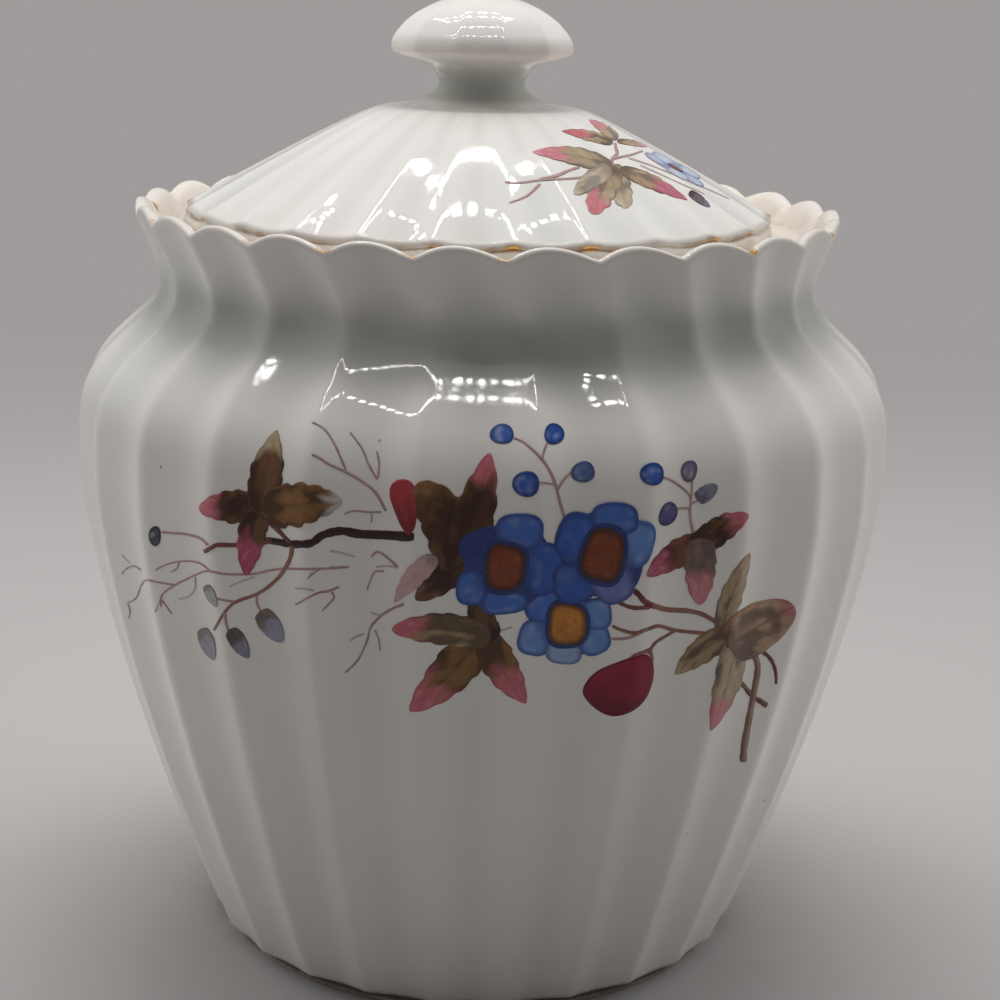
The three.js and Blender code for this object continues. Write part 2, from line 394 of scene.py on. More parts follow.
def glaze_finish():
    """Clear gloss over a white body: cooler where it pools, creamy and stained where it is worn, and
    darkened under the neck and the knob's cap as painted shade
    """
    finish = Finish("porcelain_glaze")
    look = finish.attribute("look")
    parts = finish.add("ShaderNodeSeparateColor", {0: look.outputs["Color"]})
    gilt, cream, soil = parts.outputs
    glaze_depth_and_shade = look.outputs["Alpha"]
    cloud = finish.ramp(finish.noise(24, 3), 0.36, 0.66)
    body = finish.mix(cloud, GLAZE_WARM, GLAZE_COOL)
    # Darker where the glaze pools in the flutes, and painted shade under the neck and the knob's cap
    patchy = finish.ramp(finish.noise(60, 2), 0.3, 0.7, 0.55, 0.85)
    pooled = finish.times(finish.ramp(glaze_depth_and_shade, 0.2, 1.0), patchy)
    body = finish.mix(pooled, body, GLAZE_POOLED_AND_SHADED)
    stained = finish.times(cream, finish.ramp(finish.noise(170, 5, 0.6), 0.25, 0.7, 0.45, 1.0))
    body = finish.mix(stained, body, CREAM)
    cells = finish.add("ShaderNodeTexVoronoi", {"Vector": finish.place, "Scale": 190})
    pinhole = finish.ramp(cells.outputs["Distance"], 0.035, 0.075, 1.0, 0.0)
    cell_tone = finish.add("ShaderNodeSeparateColor", {0: cells.outputs["Color"]}).outputs[0]
    pinhole = finish.times(pinhole, finish.ramp(cell_tone, 0.93, 0.98, 0.0, 0.75))
    body = finish.mix(pinhole, body, SPECK)
    dirt = finish.times(soil, finish.ramp(finish.noise(420, 4, 0.65), 0.3, 0.62, 0.25, 1.0))
    body = finish.mix(dirt, body, SOIL)
    kept = finish.times(gilt, finish.ramp(finish.noise(62, 1), 0.4, 0.58, 0.42, 1.0))
    stain = finish.ramp(finish.times(kept, finish.noise(330, 6, 0.62)), 0.2, 0.46)
    whole = finish.ramp(finish.times(kept, finish.noise(430, 4, 0.6)), 0.38, 0.5)
    gold = finish.times(whole, stain)
    body = finish.mix(finish.times(stain, 0.7), body, GOLD_STAIN)
    body = finish.mix(gold, body, GOLD)
    rough = finish.ramp(finish.noise(75, 3), 0.3, 0.7, 0.03, 0.07)
    rough = finish.sum(rough, finish.times(finish.sum(stain, dirt), 0.22))
    rough = finish.sum(rough, finish.times(stained, 0.12))
    waves = finish.sum(finish.noise(110, 2), finish.times(finish.noise(700, 2), 0.12))
    return finish.finish(
        Base_Color=body, Roughness=rough, Metallic=finish.times(gold, 0.7),
        Normal=finish.bump(waves, 0.35, 0.12 * MM),
    )


def bare_finish():
    """The ground foot, without glaze and grey with use, and painted dark up its outer side as the
    shadow where the jar stands on the floor
    """
    finish = Finish("bare_porcelain")
    grain = finish.noise(900, 5, 0.7)
    body = finish.mix(finish.ramp(finish.noise(95, 4), 0.35, 0.7), BARE_BODY, BARE_GREYED)
    body = finish.mix(finish.ramp(grain, 0.52, 0.7, 0.0, 0.7), body, SOIL)
    # Darker up the foot's outer side: a painted shadow where the jar meets the floor, in the soil
    # colour
    height = finish.add("ShaderNodeSeparateXYZ", {0: finish.place}).outputs["Z"]
    body = finish.mix(finish.ramp(height, 0.3 * MM, 1.2 * MM, 0.0, 0.85), body, SOIL)
    rough = finish.ramp(grain, 0.3, 0.7, 0.68, 0.92)
    ground = finish.bump(grain, 0.5, 0.08 * MM)
    return finish.finish(Base_Color=body, Roughness=rough, Normal=ground)


def gilding_finish():
    """Thin fired gold, rubbed through to the glaze in patches"""
    finish = Finish("rubbed_gilding")
    rubbed = finish.ramp(finish.noise(620, 5, 0.6), 0.5, 0.62)
    tone = finish.mix(finish.noise(240, 3), GOLD, GOLD_DEEP)
    body = finish.mix(rubbed, tone, GOLD_RUBBED)
    rough = finish.ramp(finish.noise(380, 3), 0.3, 0.7, 0.22, 0.42)
    metal = finish.ramp(rubbed, 0.0, 1.0, 0.9, 0.05)
    return finish.finish(
        Base_Color=body, Roughness=rough, Metallic=metal,
        Normal=finish.bump(finish.noise(480, 3), 0.3, 0.06 * MM),
    )


def enamel_finish():
    """Paint sunk into the glaze: its tone is on the mesh, with the brush's streaks over it"""
    finish = Finish("spray_enamel")
    paint = finish.attribute("paint").outputs["Color"]
    streak = finish.ramp(finish.noise(520, 4, 0.6), 0.35, 0.7, 0.0, 0.35)
    body = finish.mix(streak, paint, BRUSH_STREAK, "MULTIPLY")
    rough = finish.ramp(finish.noise(300, 3), 0.3, 0.7, 0.12, 0.24)
    return finish.finish(
        Base_Color=body, Roughness=rough, Specular_IOR_Level=0.3,
        Normal=finish.bump(finish.noise(900, 3), 0.25, 0.04 * MM),
    )


GLAZE = glaze_finish()
BARE = bare_finish()
GILDING = gilding_finish()
ENAMEL = enamel_finish()


# Jar
def lip_rows():
    """The lip's half round, from its outer face over the top to its inner face"""
    rows = []
    for share in shares(12)[1:-1]:
        turn = pi * share
        inset = LIP / 2 * (1 - cos(turn))
        z = LIP_CENTRE + LIP / 2 * sin(turn)
        gilt, cream = smooth(0.1, 0.3, share), 0.2 + 0.5 * share
        rows.append(on_wall(inset, z, SCALLOP_RISE, gilt=gilt, cream=cream, ridges=0.92))
    return rows


def neck_shade(z):
    """How dark the painted shade lies on the wall at a height: darkest just under the neck, in the
    shade of the collar's flare, where the glaze also lies thick
    """
    return exp(-((z - NECK_SHADE_HEIGHT) / NECK_SHADE_SPREAD) ** 2)


def outside_rows(low, high, steps, rise=0.0):
    """Rows up the outer wall, which come to follow the scallops where they rise"""
    heights = [(share, between(low, high, share)) for share in shares(steps, 1)]
    return [on_wall(0.0, z, rise * share ** 2, pooled=neck_shade(z)) for share, z in heights]


def jar_rows():
    ring_inner = FOOT_OUTER - FOOT_WIDTH
    foot = [level(0.0, FOOT_TOP, cream=0.3), level(0.5 * FOOT_RADIUS, FOOT_TOP, cream=0.3)]
    for short, soil in FOOT_SOIL:
        foot.append(level(ring_inner - short, FOOT_TOP, cream=0.3, soil=soil))
    for share, inset, up in rounding(FOOT_TURN):
        foot.append(on_wall(inset, FOOT_TOP + up, soil=1 - 0.6 * share))
    foot_end = FOOT_TOP + FOOT_TURN
    foot.append(on_wall(0.0, foot_end + 0.5 * MM, soil=0.12))
    body = outside_rows(foot_end + 0.5 * MM, BELLY_HEIGHT, 30)
    shoulder = outside_rows(BELLY_HEIGHT, NECK_HEIGHT, 28)
    collar = outside_rows(NECK_HEIGHT, LIP_CENTRE, 12, SCALLOP_RISE)
    seat_edge = [
        on_wall(LIP, LIP_CENTRE, SCALLOP_RISE, gilt=0.8, cream=0.8, ridges=0.92),
        on_wall(
            LIP, between(SEAT_HEIGHT, LIP_CENTRE, 0.6), 0.6 * SCALLOP_RISE,
            gilt=0.3, cream=0.85, ridges=0.8,
        ),
        on_wall(LIP, SEAT_HEIGHT + 0.35 * MM, 0.2 * SCALLOP_RISE, cream=0.9),
        on_wall(LIP + 0.1 * MM, SEAT_HEIGHT + 0.12 * MM, cream=0.9, soil=0.3),
        on_wall(LIP + 0.4 * MM, SEAT_HEIGHT, cream=1.0, soil=0.35),
    ]
    mouth = [
        level(MOUTH_RADIUS + out, SEAT_HEIGHT - down, cream=0.9, soil=0.1)
        for share, out, down in rounding(SEAT_ROUNDING)
    ]
    throat = [
        level(MOUTH_RADIUS, SEAT_HEIGHT - SEAT_THICKNESS, cream=0.5),
        level(LEDGE_RADIUS, NECK_HEIGHT + SEAT_FOOT, cream=0.3),
        level(LEDGE_RADIUS, LEDGE_BOTTOM, cream=0.3),
    ]
    neck_inside = on_wall(WALL, NECK_INSIDE, cream=0.2)
    fillet_top = FLOOR_TOP + FLOOR_FILLET
    inside = [
        on_wall(WALL, between(NECK_INSIDE, fillet_top, share), cream=0.2) for share in shares(34, 1)
    ]
    for share, up, across in rounding(FLOOR_FILLET, 5, 1):
        inside.append(on_wall(WALL + across, FLOOR_TOP + up, cream=0.25))
    floor = [level(0.5 * FOOT_RADIUS, FLOOR_TOP, cream=0.25), level(0.0, FLOOR_TOP, cream=0.25)]
    return [
        *foot, *body, *shoulder, *collar, *lip_rows(), *seat_edge,
        *rows_between(seat_edge[-1], mouth[0], 6, cream=1.0, soil=0.12), *mouth, *throat,
        *rows_between(throat[-1], neck_inside, 4, cream=0.2), neck_inside, *inside, *floor,
    ]


def band_rows(inner, outer, bottom, top, rounded, top_cream=0.0, low_cream=0.0, soil=0.0):
    """A plain ring with its lower corners rounded, soiled towards its flat underside"""
    rows = [level(inner, top, cream=top_cream), level(outer, top, cream=top_cream)]
    for edge, side in ((outer, -1), (inner, 1)):
        corner = [
            level(edge + side * across, bottom + up, cream=low_cream, soil=soil * share)
            for share, up, across in rounding(rounded)
        ]
        rows += corner if side < 0 else corner[::-1]
    return rows


foot_rows = band_rows(FOOT_OUTER - FOOT_WIDTH, FOOT_OUTER, 0.0, FOOT_TOP, FOOT_ROUNDING)
jar_shell = turned("jar_shell", jar_rows(), GLAZE)
foot_band = turned("foot_band", foot_rows, BARE, PLAIN_COLUMNS, ring=True)


# Lid
def lid_edge_rows():
    rows = []
    for out, up in through(LID_EDGE_SHARES, 3):
        radius = LID_RADIUS - out * LID_EDGE

        def place(angle, radius=radius, up=up):
            dip = LID_FLUTE_DEPTH * hollow_at(angle)
            return polar(radius - dip, angle, LID_BOTTOM + up * (LID_EDGE - dip))

        gilt = smooth(0.7, 0.88, up)
        rows.append(Row(place, gilt=gilt, cream=0.5, soil=0.25 * (1 - up), ridges=0.3))
    return rows


def lid_rows():
    under = [level(0.0, DOME_TOP - DOME_THICKNESS, cream=0.3)]
    for share in shares(12):
        radius = between(APEX_RADIUS, UNDER_REACH, share)
        under.append(level(radius, DOME_TOP - DOME_THICKNESS - dome_fall(radius), cream=0.3))
    under.append(level(FLANGE_RADIUS - FLANGE_THICKNESS - 0.3 * MM, LID_BOTTOM, cream=0.6))
    top = []
    for share in shares(30):
        radius = between(LID_RADIUS - 0.09 * LID_EDGE, APEX_RADIUS, share ** 0.9)
        rim = smooth(0.035, 0.0, share)
        top.append(on_dome(radius, gilt=rim, cream=0.3 * rim, ridges=0.3))
    waist_rise = (STEM_TOP - DOME_TOP) * STEM_WAIST_SHARE
    stem = []
    for share in shares(12):
        radius = between(STEM_WAIST_RADIUS, STEM_FOOT_RADIUS, (1 - share) ** 2)
        # The stem is darkened towards its waist by the pooled tone: painted shade under the knob's
        # cap
        pooled = smooth(0.05, 0.5, share)
        soil = 0.1 * (1 - share) ** 4
        stem.append(level(radius, DOME_TOP + waist_rise * share, soil=soil, pooled=pooled))
    throat = []
    for share in shares(4, 1):
        radius = between(STEM_WAIST_RADIUS, STEM_TOP_RADIUS, share ** 2)
        z = DOME_TOP + between(waist_rise, STEM_TOP - DOME_TOP, share)
        # The throat under the cap carries the same painted shade
        throat.append(level(radius, z, pooled=1 - 0.5 * share))
    cap = []
    for out, up, flute in through(CAP_SHARES, 4)[1:]:
        edge = smooth(0.1, 0.2, up) * smooth(0.42, 0.3, up)
        cap.append(on_cap(out, up, flute, cream=0.35 * edge))
    return [*under, *lid_edge_rows(), *top, *stem, *throat, *cap, level(0.0, CAP_TOP, cream=0.3)]


def button_rows():
    low = CAP_TOP - BUTTON_SEAT
    rows = [level(0.0, low)]
    for out, up in through(BUTTON_SHARES, 4):
        rows.append(level(BUTTON_RADIUS * out, between(low, BUTTON_TOP, up)))
    return [*rows, level(0.0, BUTTON_TOP)]


flange_rows = band_rows(
    FLANGE_RADIUS - FLANGE_THICKNESS, FLANGE_RADIUS, FLANGE_BOTTOM, LID_BOTTOM, FLANGE_ROUNDING,
    top_cream=0.6, low_cream=0.9, soil=0.25,
)
lid_shell = turned("lid_shell", lid_rows(), GLAZE, middle=LID_MIDDLE)
knob_tip = turned("knob_tip", button_rows(), GILDING, 64, LID_MIDDLE)
flange_band = turned("flange_band", flange_rows, GLAZE, PLAIN_COLUMNS, LID_MIDDLE, ring=True)

# Camera, at the photograph's place and turned as it was
PICTURE_SIDE = 1000
FOCAL = 2001.5
FILM_WIDTH = 36
CAMERA_PLACE = Vector((0, -369.98 * MM, 178.17 * MM))
CAMERA_DOWN = radians(14.709)
CAMERA_YAW = radians(0.53)
CAMERA_ROLL = radians(1.456)


def camera_axes():
    """The camera's right, up and forward directions"""
    level_right = Vector((cos(CAMERA_YAW), -sin(CAMERA_YAW), 0))
    ahead = Vector((sin(CAMERA_YAW), cos(CAMERA_YAW), 0))
    forward = ahead * cos(CAMERA_DOWN) - Vector((0, 0, sin(CAMERA_DOWN)))
    level_up = level_right.cross(forward)
    right = level_right * cos(CAMERA_ROLL) + level_up * sin(CAMERA_ROLL)
    return right, right.cross(forward), forward


RIGHT, UP, FORWARD = camera_axes()


def add_camera():
    camera = bpy.data.objects.new("photo_camera", bpy.data.cameras.new("photo_camera"))
    bpy.context.scene.collection.objects.link(camera)
    camera.data.sensor_width = FILM_WIDTH
    camera.data.lens = FILM_WIDTH * FOCAL / PICTURE_SIDE
    camera.data.clip_start = 10 * MM
    turn = Matrix((RIGHT, UP, -FORWARD)).transposed().to_4x4()
    camera.matrix_world = Matrix.Translation(CAMERA_PLACE) @ turn
    bpy.context.scene.camera = camera


add_camera()


# The painted spray. Its places and widths are read off the 1000 x 1000 photograph, and each mark is
# laid on the glaze that lies behind them.
def picture_ray(spot):
    across = (spot.x - PICTURE_SIDE / 2) / FOCAL
    down = (spot.y - PICTURE_SIDE / 2) / FOCAL
    return (FORWARD + RIGHT * across - UP * down).normalized()


def ground_of(shell, along_of, place_on, middle):
    """A function from a point of the picture to the smooth glaze there and its outward direction"""
    tree = BVHTree.FromObject(shell, bpy.context.evaluated_depsgraph_get())
    nudge = 0.05 * MM

    def ground(spot):
        ray = picture_ray(spot)
        hit = tree.ray_cast(CAMERA_PLACE, ray)[0]
        if hit is None:
            hit = tree.find_nearest(CAMERA_PLACE + ray * -CAMERA_PLACE.y)[0]
        hit = hit - middle
        angle, along = angle_of(hit), along_of(hit)
        turn = nudge / hypot(hit.x, hit.y)
        east = place_on(angle + turn, along) - place_on(angle - turn, along)
        north = place_on(angle, along + nudge) - place_on(angle, along - nudge)
        outward = east.cross(north).normalized()
        if outward.dot(ray) > 0:
            outward = -outward
        return place_on(angle, along) + middle, outward

    return ground


def lid_reach(hit):
    return min(hypot(hit.x, hit.y), LID_RADIUS - 0.4 * MM)


bpy.context.view_layer.update()
on_jar = ground_of(jar_shell, lambda hit: hit.z, wall_spot, Vector())
on_lid = ground_of(lid_shell, lid_reach, dome_spot, LID_MIDDLE)

# Enamel colours
WHITE = (0.70, 0.69, 0.66)
OLIVE = (0.215, 0.105, 0.032)
DARK_OLIVE = (0.07, 0.027, 0.01)
AMBER = (0.36, 0.19, 0.07)
PALE_OLIVE = (0.4, 0.3, 0.185)
BROWN = (0.15, 0.06, 0.034)
DARK_BROWN = (0.03, 0.009, 0.006)
WARM_BROWN = (0.115, 0.05, 0.022)
BUD_BROWN = (0.38, 0.24, 0.155)
DRY_OLIVE = (0.34, 0.25, 0.14)
PALE_TIP = (0.55, 0.5, 0.44)
RUSSET = (0.24, 0.125, 0.095)
MAROON = (0.13, 0.024, 0.024)
DEEP_RUST = (0.2, 0.055, 0.05)
PINK = (0.53, 0.135, 0.17)
PALE_PINK = (0.56, 0.27, 0.28)
ROSE = (0.42, 0.07, 0.13)
CRIMSON = (0.265, 0.011, 0.036)
RED = (0.38, 0.04, 0.05)
TWIG = (0.41, 0.265, 0.255)
PALE_TWIG = (0.54, 0.43, 0.415)
RUST = (0.27, 0.125, 0.085)
COBALT = (0.03, 0.095, 0.40)
DEEP_BLUE = (0.022, 0.045, 0.20)
MID_BLUE = (0.055, 0.14, 0.47)
LIGHT_BLUE = (0.12, 0.24, 0.56)
PALE_BLUE = (0.26, 0.36, 0.60)
HAZE_BLUE = (0.38, 0.43, 0.58)
VIOLET_BLUE = (0.15, 0.18, 0.45)
SLATE = (0.15, 0.155, 0.25)
DUSK_BLUE = (0.2, 0.2, 0.33)
DUSK_VIOLET = (0.09, 0.08, 0.14)
BUD_BLUE = (0.11, 0.13, 0.28)
GREY_GREEN = (0.27, 0.29, 0.28)
MIST_BLUE = (0.47, 0.52, 0.63)
CLAY = (0.21, 0.046, 0.016)
ORANGE = (0.56, 0.215, 0.03)
SHADE_BLUE = (0.02, 0.024, 0.055)
DULL_BLUE = (0.10, 0.15, 0.33)
BERRY_MAUVE = (0.19, 0.14, 0.24)
BERRY_VIOLET = (0.10, 0.09, 0.25)
BERRY_BLACK = (0.07, 0.075, 0.10)

# How far each kind of mark stands off the glaze, and how thick its sheet is
TWIG_LIFT = 0.05 * MM
STEM_LIFT = 0.06 * MM
LEAF_LIFT = 0.075 * MM
BERRY_LIFT = 0.08 * MM
FLOWER_LIFT = 0.1 * MM
PETAL_STEP = 0.006 * MM
ENAMEL_THICKNESS = 0.2 * MM

# How much larger than its heart a flower's dark shade is, and how many teeth a leaf has on a side
SHADE_SIZE = 1.22
LEAF_TEETH = 5

# Steps across and along each kind of mark; a stroke has as many along as its line
LEAF_GRID = (14, 45)
STROKE_STEPS = 2
FLOWER_GRID = (16, 16)
BERRY_GRID = (12, 12)
PATCH_GRID = (20, 20)


def blend(first, second, share):
    return tuple(between(low, high, share) for low, high in zip(first, second))


def mottle(x, y, seed):
    return noise.noise(Vector((x, y, seed)))


class Spray:
    """The marks of one kind on one shell, gathered in one thin piece"""

    def __init__(self, name, ground, body):
        self.name, self.ground, self.body = name, ground, body
        self.bm = bmesh.new()
        self.paint = self.bm.verts.layers.float_color.new("paint")
        self.marks = 0

    def lay(self, place, paint, lift, steps):
        """One mark: a grid bent to its outline in the picture, then put down on the glaze"""
        columns, rows = steps
        grid = bmesh.ops.create_grid(self.bm, x_segments=columns, y_segments=rows, size=1)["verts"]
        outward = Vector()
        for vert in grid:
            across, along = vert.co.x, vert.co.y
            spot, normal = self.ground(place(across, along))
            vert[self.paint] = (*paint(across, along), 1)
            vert.co = spot + normal * lift
            outward += normal
        faces = list({face for vert in grid for face in vert.link_faces})
        for face in faces:
            face.normal_update()
        if sum((face.normal for face in faces), Vector()).dot(outward) < 0:
            bmesh.ops.reverse_faces(self.bm, faces=faces)
        self.marks += 1

    def finished(self):
        piece = finished(self.name, self.bm, ENAMEL)
        sheet = piece.modifiers.new("sheet", "SOLIDIFY")
        sheet.thickness = ENAMEL_THICKNESS
        sheet.offset = -1
        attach(piece, self.body)


Leaf = namedtuple(
    "Leaf", "base tip width body tip_colour tip_share bend fullness strength teeth",
    defaults=(0.7, 0.0, 0.8, 1.0, 0.1),
)
Stroke = namedtuple("Stroke", "points wide narrow colour", defaults=(TWIG,))
Disc = namedtuple("Disc", "middle width height turn colour", defaults=(0.0, COBALT))
Patch = namedtuple("Patch", "outline colour")


def each(kind, *rows):
    return [kind(*row) for row in rows]


def lay_leaf(spray, leaf):
    base, tip = Vector(leaf.base), Vector(leaf.tip)
    axis = tip - base
    side = Vector((-axis.y, axis.x)).normalized()
    seed = spray.marks * 3.7
    dark = blend(leaf.body, DARK_BROWN, 0.75)

    def place(across, along):
        share = (along + 1) / 2
        from_base = between(0.09, 1.0, share) ** 0.85
        blunt = sqrt(1 - (1 - min(share / 0.08, 1.0)) ** 2)
        swell = blunt * max(sin(pi * from_base), 0.0) ** leaf.fullness
        tooth = (share * LEAF_TEETH + (0.5 if across > 0 else 0.0) + 0.2 * leaf.bend) % 1
        notch = 1 - smooth(0.0, 0.6, tooth) + smooth(0.78, 1.0, tooth)
        swell *= 1 - leaf.teeth * notch * smooth(0.15, 0.35, share)
        wobble = 1 + 0.07 * mottle(share * 5, seed, across)
        bow = leaf.bend * axis.length * 4 * share * (1 - share)
        out = across * leaf.width / 2 * max(swell, 0.04) * wobble
        return base + axis * share + side * (out + bow)

    def paint(across, along):
        share = (along + 1) / 2
        cloud = mottle(across * 1.5, share * 3, seed)
        fine = mottle(across * 4, share * 9, seed + 9)
        rib = exp(-(across / 0.1) ** 2)
        veins = max(0.0, cos(tau * (share * LEAF_TEETH - abs(across) * 1.2))) ** 5
        deep = 0.6 * rib + 0.4 * veins + 0.9 * smooth(0.0, 0.3, cloud) + smooth(0.3, 0.05, share)
        tone = blend(leaf.body, dark, min(1.0, deep))
        tone = blend(tone, AMBER, 0.2 * smooth(0.05, 0.4, -cloud - 0.4 * fine))
        reddened = smooth(leaf.tip_share - 0.09, leaf.tip_share + 0.09, share + 0.2 * cloud)
        blush = blend(leaf.tip_colour, WHITE, 0.13 * smooth(0.0, 0.5, fine))
        blush = blend(blush, blend(leaf.tip_colour, MAROON, 0.6), 0.35 * max(veins, rib))
        tone = blend(tone, blush, reddened)
        edge = smooth(0.72, 0.95, abs(across)) * smooth(-0.4, 0.4, cloud + fine)
        tone = blend(tone, blend(dark, leaf.tip_colour, 0.3 * reddened), 0.65 * edge)
        return blend(WHITE, tone, leaf.strength)

    spray.lay(place, paint, LEAF_LIFT + PETAL_STEP * (spray.marks % 5), LEAF_GRID)


def lay_stroke(spray, stroke, lift):
    line = through(stroke.points, 6)
    last = len(line) - 1
    seed = spray.marks * 2.3

    def place(across, along):
        at = (along + 1) / 2 * last
        index = min(int(round(at)), last)
        ahead = line[min(index + 1, last)] - line[max(index - 1, 0)]
        side = Vector((-ahead.y, ahead.x)).normalized()
        share = index / last
        taper = smooth(0.0, 0.04, share + 0.02) * smooth(1.0, 0.96, share - 0.02)
        width = between(stroke.wide, stroke.narrow, share) * (0.35 + 0.65 * taper)
        width *= 1 + 0.22 * mottle(share * last * 0.5, seed, 0)
        return line[index] + side * across * width / 2

    def paint(across, along):
        uneven = mottle((along + 1) * last * 0.14, seed, across)
        tone = blend(stroke.colour, DARK_BROWN, 0.25 * smooth(0.0, 0.5, uneven))
        return blend(tone, WHITE, 0.3 * stroke.colour[0] * smooth(0.0, 0.6, -uneven))

    spray.lay(place, paint, lift, (STROKE_STEPS, last))


def rounded_off(across, along):
    """A point of a square grid, moved to where it lies in a round one"""
    return across * sqrt(1 - along ** 2 / 2), along * sqrt(1 - across ** 2 / 2)


def reach_of(across, along):
    return hypot(*rounded_off(across, along))


def disc_place(disc, squareness):
    """A grid drawn into a round or squarish patch of the picture"""
    middle, turn = Vector(disc.middle), radians(disc.turn)
    power = 2 + squareness

    def place(across, along):
        x, y = rounded_off(across, along)
        reach = hypot(x, y)
        if reach > 0:
            corner = (abs(x / reach) ** power + abs(y / reach) ** power) ** (-1 / power)
            bumpy = 1 + 0.035 * sin(3 * atan2(y, x) + disc.middle[0])
            x, y = x * corner * bumpy, y * corner * bumpy
        return middle + Matrix.Rotation(turn, 2) @ Vector((x * disc.width / 2, y * disc.height / 2))

    return place


def lay_petal(spray, petal, heart, lift):
    """A petal: darker at its edge and towards the heart of its flower"""
    inward = Vector(heart) - Vector(petal.middle)
    if inward.length:
        inward.normalize()
    place = disc_place(petal, 0.7)
    seed = spray.marks * 1.9
    dark = blend(petal.colour, DEEP_BLUE, 0.85)
    edge = blend(petal.colour, DEEP_BLUE, 0.75 * (1 - petal.colour[0]))

    def paint(across, along):
        reach = reach_of(across, along)
        towards = (place(across, along) - Vector(petal.middle)).dot(inward)
        towards /= max(petal.width, petal.height) / 2
        cloud = mottle(across * 1.8, along * 1.8, seed)
        tone = blend(petal.colour, WHITE, petal.colour[2] * 0.25 * smooth(-0.1, 0.6, cloud))
        tone = blend(tone, dark, 0.75 * smooth(0.1, 0.8, towards))
        return blend(tone, edge, smooth(0.7, 0.92, reach))

    spray.lay(place, paint, lift, FLOWER_GRID)


def lay_heart(spray, heart, lift):
    """The stippled middle of a flower"""
    seed = spray.marks * 5.1

    def paint(across, along):
        reach = reach_of(across, along)
        stipple = mottle(across * 7, along * 7, seed)
        cloud = mottle(across * 2, along * 2, seed)
        tone = blend(heart.colour, CLAY, 0.35 * smooth(0.0, 0.5, cloud))
        tone = blend(tone, MAROON, 0.35 * smooth(0.15, 0.45, stipple))
        tone = blend(tone, ORANGE, 0.12 * smooth(0.1, 0.5, -stipple))
        return blend(tone, DARK_BROWN, 0.8 * smooth(0.68, 0.98, reach))

    spray.lay(disc_place(heart, 1.2), paint, lift, FLOWER_GRID)


def lay_flower(spray, flower):
    """The petals on their ground, then a dark shade that shows round the heart, then the heart"""
    heart = flower.heart
    wide, high = heart.width * SHADE_SIZE, heart.height * SHADE_SIZE
    shade = heart._replace(width=wide, height=high, colour=SHADE_BLUE)
    for petal in (flower.ground, *flower.petals, shade):
        lay_petal(spray, petal, heart.middle, FLOWER_LIFT + PETAL_STEP * spray.marks)
    lay_heart(spray, heart, FLOWER_LIFT + PETAL_STEP * spray.marks)


def lay_berry(spray, berry):
    """A berry or a closed bud: a dark rim and a lighter side"""
    seed = spray.marks * 4.3
    dark = tuple(part * 0.45 for part in berry.colour)

    def paint(across, along):
        reach = reach_of(across, along)
        cloud = mottle(across * 1.5, along * 1.5, seed)
        light = smooth(0.0, 0.7, cloud - across * 0.35 + along * 0.2)
        tone = blend(berry.colour, WHITE, 0.3 * light)
        tone = blend(tone, dark, 0.5 * smooth(0.1, 0.7, -cloud + across * 0.3))
        return blend(tone, dark, 0.85 * smooth(0.6, 0.88, reach))

    spray.lay(disc_place(berry, 0.1), paint, BERRY_LIFT, BERRY_GRID)


def lay_patch(spray, patch):
    """Flat colour in a closed line that starts at its right and runs down first: darker below"""
    points, steps = patch.outline, 6
    line = through([points[-1], *points, *points[:2]], steps)[steps:-steps]
    middle = sum(line[:-1], Vector((0, 0))) / (len(line) - 1)
    seed = spray.marks * 6.1
    dark = tuple(part * 0.5 for part in patch.colour)

    def place(across, along):
        reach = reach_of(across, along)
        if reach == 0:
            return middle
        at = (atan2(along, across) / tau % 1) * (len(line) - 1)
        index = min(int(at), len(line) - 2)
        return middle.lerp(line[index].lerp(line[index + 1], at - index), reach)

    def paint(across, along):
        cloud = mottle(across * 1.6, along * 1.6, seed)
        tone = blend(patch.colour, dark, smooth(-0.5, 1.1, along + 0.5 * cloud))
        return blend(tone, dark, 0.5 * smooth(0.85, 1.0, reach_of(across, along)))

    spray.lay(place, paint, BERRY_LIFT, PATCH_GRID)


def lay_fruit(spray, fruit):
    """A bud or fruit with an outline of its own, or a round berry"""
    if isinstance(fruit, Patch):
        lay_patch(spray, fruit)
    else:
        lay_berry(spray, fruit)


